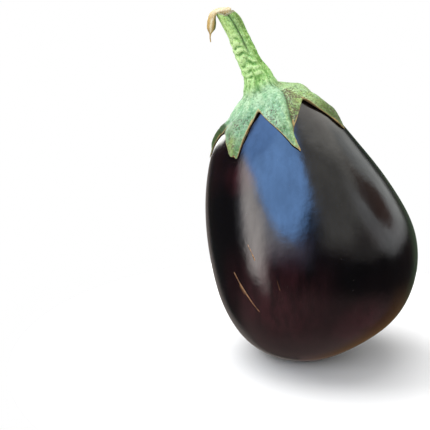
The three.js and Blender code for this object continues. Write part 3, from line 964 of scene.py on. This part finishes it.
def green_material():
    leaf = MaterialRecipe("calyx_green")
    place = leaf.place()
    stalk = leaf.attribute("stalk")
    hollow = leaf.attribute("hollow")

    # The ground: mint to green, with yellower and deeper parts, in soft mottles and fine fibres; some of the
    # yellower parts are painted light, and some of the deeper ones painted shade.
    fibre = leaf.noise(leaf.attribute("grain", "Vector"), *LEAF_FIBRES)
    mottle = leaf.noise(place, *LEAF_MOTTLES)
    fine = leaf.noise(place, *LEAF_FLECKS)
    mint = leaf.mix(leaf.range(mottle, *MINT_RANGE), LEAF_MINT_DEEP, LEAF_MINT)
    fibrous = leaf.maths("MULTIPLY_ADD", mottle, MOTTLED_FIBRES, fibre)
    stem = leaf.mix(leaf.range(fibrous, *STEM_RANGE), STEM_GREEN, STEM_PALE)
    green = leaf.mix(leaf.range(mottle, *GREEN_RANGE), LEAF_GREEN_DEEP, LEAF_GREEN)
    clouds = leaf.noise(place, *LEAF_CLOUDS)
    # Deeper green, partly painted shade on the sides that face away from the light.
    deep_green_and_shade = leaf.wandering("deep_green_and_shade", clouds, DEEP_WANDER)
    tone = leaf.mix(leaf.range(deep_green_and_shade, *DEEP_RANGE), leaf.mix(stalk, mint, stem), green)
    # Yellower, partly painted light beside the front rib and on the stalk's left side.
    yellow_and_lit = leaf.wandering("yellow_and_lit", fibre, YELLOW_WANDER)
    lime = leaf.mix(stalk, LEAF_YELLOW, STEM_LIME)
    tone = leaf.mix(leaf.range(yellow_and_lit, *YELLOW_RANGE), tone, lime)
    # Paler: painted light on the stalk's left side, which the light falls on, and paler round the collar.
    pale_and_lit = leaf.maths("MULTIPLY", leaf.attribute("pale_and_lit"), leaf.range(mottle, *PALE_RANGE))
    cream = leaf.mix(stalk, LEAF_CREAM, STEM_CREAM)
    tone = leaf.mix(pale_and_lit, tone, cream)

    # Painted shade in folds and hollows, and a painted highlight on what stands out.
    crease_shade = leaf.mix(stalk, LEAF_CREASE_SHADE, STEM_CREASE_SHADE)
    tone = leaf.mix(leaf.range(hollow, *CREASE_SHADE_RANGE), tone, crease_shade)
    raised_highlight = leaf.maths("MULTIPLY_ADD", stalk, *RAISED_HIGHLIGHT_SHARE)
    raised_highlight = leaf.maths("MULTIPLY", leaf.range(hollow, *RAISED_HIGHLIGHT_RANGE), raised_highlight)
    tone = leaf.mix(raised_highlight, tone, cream)
    tone = leaf.mix(leaf.range(fine, *PALE_FLECK_RANGE), tone, cream)
    tone = leaf.mix(leaf.range(fine, *DEEP_FLECK_RANGE), tone, LEAF_GREEN_DEEP)
    # Painted shade in the grooves beside the front rib and along the stalk.
    tone = leaf.mix(leaf.maths("MULTIPLY", leaf.attribute("streak"), GROOVE_SHADE_TONE), tone, LEAF_GREEN)
    # Painted shade on the sepals that face away from the light, and in the stalk's groove.
    tone = leaf.mix(leaf.attribute("painted_shade"), tone, LEAF_PAINTED_SHADE)

    # Brown specks, and brown patches.
    patch = leaf.noise(place, *LEAF_PATCHES)
    speckled = leaf.maths("MULTIPLY", leaf.attribute("speckled"), leaf.range(patch, *SPECKLED_RANGE))
    limit = leaf.maths("MULTIPLY_ADD", speckled, *SPECK_LIMIT)
    speck = leaf.maths("SUBTRACT", leaf.noise(place, *LEAF_SPECKS), limit)
    tone = leaf.mix(leaf.range(speck, *SPECK_RANGE), tone, LEAF_BROWN)
    brown = leaf.wandering("brown", mottle, BROWN_WANDER)
    tone = leaf.mix(leaf.range(brown, *BROWN_RANGE), tone, leaf.mix(fine, LEAF_BROWN, LEAF_TAN))

    # Dry rims: a tan line along the edge, partly a painted highlight on their upper corner, and brown faces.
    ragged = leaf.maths("MULTIPLY_ADD", leaf.noise(place, *RIM_RAGS), RIM_RAGGED, leaf.attribute("edge"))
    dry_edge_and_highlight = leaf.range(ragged, *DRY_RIM_AND_HIGHLIGHT_RANGE)
    dry_edge_and_highlight = leaf.maths("MULTIPLY", dry_edge_and_highlight, leaf.range(patch, *DRY_PATCH_RANGE))
    tone = leaf.mix(dry_edge_and_highlight, tone, LEAF_TAN)
    tone = leaf.mix(leaf.attribute("rim"), tone, leaf.mix(mottle, EDGE_BROWN, EDGE_DARK))

    # The cut end, dry and grey-brown.
    cut = leaf.maths("MULTIPLY_ADD", leaf.noise(place, *CUT_RAGS), CUT_RAGGED, leaf.attribute("rise"))
    tone = leaf.mix(leaf.range(cut, *CUT_RANGE), tone, CUT_BROWN)
    leaf.feed(leaf.surface["Base Color"], tone)

    leaf.feed(leaf.surface["Roughness"], leaf.range(mottle, *LEAF_ROUGHNESS_RANGE))
    leaf.surface["IOR"].default_value = LEAF_IOR
    leaf.surface["Specular IOR Level"].default_value = LEAF_SHINE
    grit = leaf.bump(fine, *GRIT_BUMP)
    strength = leaf.maths("MULTIPLY_ADD", stalk, *FIBRE_BUMP_STRENGTH)
    leaf.feed(leaf.surface["Normal"], leaf.bump(fibre, strength, FIBRE_BUMP_DISTANCE, over=grit))
    return leaf.material


# ---- Dried peel ----

PEEL_CREAM = rgb(0.70, 0.60, 0.37)
# A painted highlight.
PEEL_HIGHLIGHT = rgb(0.88, 0.82, 0.58)
PEEL_GOLD = rgb(0.50, 0.33, 0.10)
PEEL_BROWN = rgb(0.40, 0.25, 0.08)
# Painted shade.
PEEL_SHADE_OLIVE = rgb(0.11, 0.13, 0.03)
PEEL_ROUGHNESS = 0.5
PEEL_STRETCH = (1.0, 1.0, 0.2)
PEEL_STREAKS = (900, 4, 0.6)
PEEL_BROWN_RANGE = (0.42, 0.66, 0, 0.6)
PEEL_GOLD_RANGE = (0.176, 0.168)  # heights: its root is cream, and what hangs is gold
PEEL_BUMP = (0.5, 0.0004)


def peel_material():
    peel = MaterialRecipe("dried_peel")
    place = peel.place()
    height = peel.add("ShaderNodeSeparateXYZ", {0: place}).outputs["Z"]
    streak = peel.noise(peel.vector("MULTIPLY", place, PEEL_STRETCH), *PEEL_STREAKS)
    tone = peel.mix(peel.range(height, *PEEL_GOLD_RANGE), PEEL_CREAM, PEEL_GOLD)
    tone = peel.mix(peel.range(streak, *PEEL_BROWN_RANGE), tone, PEEL_BROWN)
    # A painted highlight on the ridge, and painted shade on the inside.
    tone = peel.mix(peel.attribute("ridge_highlight"), tone, PEEL_HIGHLIGHT)
    tone = peel.mix(peel.attribute("inside_shade"), tone, PEEL_SHADE_OLIVE)
    peel.feed(peel.surface["Base Color"], tone)
    peel.surface["Roughness"].default_value = PEEL_ROUGHNESS
    peel.feed(peel.surface["Normal"], peel.bump(streak, *PEEL_BUMP))
    return peel.material


PIECES = [
    (skin, skin_material(), "fruit", "skin"),
    (calyx, green_material(), "calyx_and_stalk", "green"),
    (strip, peel_material(), "dried_strip", "dried_peel"),
]
for piece, material, node, slot in PIECES:
    piece.data.materials.append(material)
    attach(piece, "root")
    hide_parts(node)

# ---- Table and light ----

TABLE_RADIUS = 0.15
TABLE_SIDES = 96
TABLE_WHITE = rgb(0.86, 0.86, 0.86)
TABLE_ROUGHNESS = 0.9

BACKGROUND = rgb(1.0, 1.0, 1.0)
AMBIENT = rgb(0.76, 0.76, 0.76)
MIRRORED_DARK = rgb(0.03, 0.033, 0.03)
MIRRORED_SKY = rgb(2.4, 4.7, 9.4)

# What glossy surfaces mirror. Each soft box has its corners as (heading, height) in degrees, where heading 0
# is the side of the camera and 90 the right, the width of its soft rim in degrees, and its brightness.
SOFT_BOXES = {
    "ground": (
        [(-200, -95), (200, -95), (200, -33), (-80, -33), (-200, -60)],
        18,
        rgb(0.25, 0.18, 0.17),
    ),
    "canopy": (
        [(20, 12), (50, 10), (95, 6), (142, 10), (160, 40), (160, 95), (20, 95)],
        26,
        rgb(0.95, 0.93, 0.86),
    ),
    "canopy_top": (
        [(52, 95), (58, 58), (90, 44), (112, 32), (138, 12), (150, 20), (140, 60), (120, 95)],
        20,
        rgb(2.2, 2.15, 2.0),
    ),
    "right_wall": (
        [(77, 30), (81, 8), (98, -1), (130, 4), (134, 10), (100, 29), (84, 37)],
        13,
        rgb(1.45, 1.48, 1.5),
    ),
    "dim_band": (
        [(44, 0), (50, 12), (60, 23), (70, 26), (76, 20), (72, 6), (66, 0)],
        14,
        rgb(0.36, 0.35, 0.33),
    ),
    "right_edge": (
        [(118, 34), (128, 34), (149, 13), (144, 4), (138, 1), (126, 5), (118, 20)],
        9,
        rgb(1.3, 1.35, 1.33),
    ),
    "dark_gap": (
        [(95, 32), (109, 34), (125, 22), (128, 16), (120, 12.5), (109, 13), (97, 21)],
        6,
        rgb(0.30, 0.19, 0.15),
    ),
    "left_floor": ([(-180, -8), (-150, -8), (-141, -46), (-180, -46)], 14, rgb(0.32, 0.28, 0.26)),
    "warm_floor": ([(110, -30), (172, -24), (172, -52), (120, -56)], 18, rgb(0.22, 0.125, 0.06)),
    "low_glow": ([(-50, 12), (7, 14), (-3, -8), (-46, -14)], 22, rgb(0.6, 0.56, 0.8)),
    "haze": ([(-70, 26), (-30, 20), (-18, 4), (-40, -8), (-70, -8)], 26, rgb(2.6, 2.6, 2.8)),
    "window_top": (
        [(-85, 42), (-78, 28), (-65.5, -4), (-48, -2), (-46, 28), (-60, 52)],
        16,
        rgb(4.8, 4.5, 4.3),
    ),
    "window": ([(-67, 6), (-71, -26), (-56, -31), (-46, -8), (-46, 10)], 14, rgb(6.0, 5.6, 5.4)),
    "pale_sky": (
        [(-150, 46), (-60, 27), (-30, 15), (21, 38), (33, 60), (38, 100), (-150, 100)],
        12,
        rgb(1.65, 3.35, 7.1),
    ),
    "sky": ([(-48, 22), (-30, 15), (21, 38), (33, 60), (38, 100), (-48, 100)], 14, MIRRORED_SKY),
    "low_sky": (
        [(-60, 32), (-35, 12), (-27, 7), (-12, 9), (16, 36), (14, 50), (-60, 50)],
        14,
        MIRRORED_SKY,
    ),
    "greenery": ([(136, 0), (176, 0), (176, -24), (140, -24)], 20, rgb(0.10, 0.14, 0.09)),
    "rear_left": ([(-170, -4), (-160, -6), (-138, 13), (-142, 21), (-160, 11)], 6, rgb(5.0, 5.0, 4.8)),
}

# Lamps for matt surfaces: place, size and brightness as seen from their front.
LAMPS = {
    "key": ((-0.78, 0.30, 1.04), 1.4, 3.0),
    "top": ((-0.08, 0.16, 1.33), 1.2, 2.7),
    "fill": ((-0.56, -0.98, 0.70), 0.9, 1.9),
}
LAMP_AIM = Vector((0, 0, 0.06))


def make_table():
    bpy.ops.object.select_all(action="DESELECT")
    bpy.ops.mesh.primitive_circle_add(
        vertices=TABLE_SIDES, radius=TABLE_RADIUS, fill_type="NGON", location=(0, 0, 0)
    )
    table = bpy.context.object
    table.name = "table"
    table.visible_glossy = False
    paint = MaterialRecipe("pale_table")
    paint.surface["Base Color"].default_value = TABLE_WHITE
    paint.surface["Roughness"].default_value = TABLE_ROUGHNESS
    paint.surface["Specular IOR Level"].default_value = 0.0
    table.data.materials.append(paint.material)


def box_share(room, direction, corners, rim):
    """1 for directions inside a soft box and 0 outside it. Its corners may run round it either way."""
    turned = [Vector(corner) for corner in corners]
    area = sum(a.cross(b) for a, b in zip(turned, turned[1:] + turned[:1]))
    if area < 0:
        turned.reverse()
    share = 1.0
    for a, b in zip(turned, turned[1:] + turned[:1]):
        inward = Vector((a.y - b.y, b.x - a.x)).normalized() / rim
        side = (inward.x, inward.y, 0.5 - inward.dot(a))  # half of the soft rim lies beyond each side
        share = room.maths("MINIMUM", share, room.vector("DOT_PRODUCT", direction, side, out="Value"))
    return room.range(share, 0, 1)


def add_world():
    """A white room, in which glossy surfaces mirror the soft boxes instead."""
    world = bpy.data.worlds.new("studio")
    world.use_nodes = True
    world.cycles.sampling_method = "NONE"
    bpy.context.scene.world = world
    room = Recipe(world.node_tree)
    way = room.add("ShaderNodeSeparateXYZ", {0: room.place("Generated")}).outputs
    heading = room.maths("DEGREES", room.maths("ARCTAN2", way[0], room.maths("MULTIPLY", way[1], -1.0)))
    height = room.maths("DEGREES", room.maths("ARCSINE", way[2]))
    direction = room.add("ShaderNodeCombineXYZ", {0: heading, 1: height, 2: 1.0}).outputs[0]
    mirrored = MIRRORED_DARK
    for corners, rim, colour in SOFT_BOXES.values():
        mirrored = room.mix(box_share(room, direction, corners, rim), mirrored, colour)
    light = room.add("ShaderNodeLightPath", {}).outputs
    plain = room.mix(light["Is Camera Ray"], AMBIENT, BACKGROUND)
    background = world.node_tree.nodes["Background"].inputs
    room.feed(background["Color"], room.mix(light["Is Glossy Ray"], plain, mirrored))


def add_lamp(name, place, size, brightness):
    light = bpy.data.lights.new(name, "AREA")
    light.shape = "DISK"
    light.size = size
    light.energy = brightness * math.pi * math.pi * (size / 2) ** 2
    lamp = bpy.data.objects.new(name, light)
    lamp.location = place
    lamp.rotation_euler = (LAMP_AIM - lamp.location).to_track_quat("-Z", "Y").to_euler()
    lamp.visible_camera = False
    lamp.visible_glossy = False
    bpy.context.scene.collection.objects.link(lamp)


make_table()
add_world()
for name, lamp in LAMPS.items():
    add_lamp(name, *lamp)

bpy.context.scene.view_settings.view_transform = "Standard"
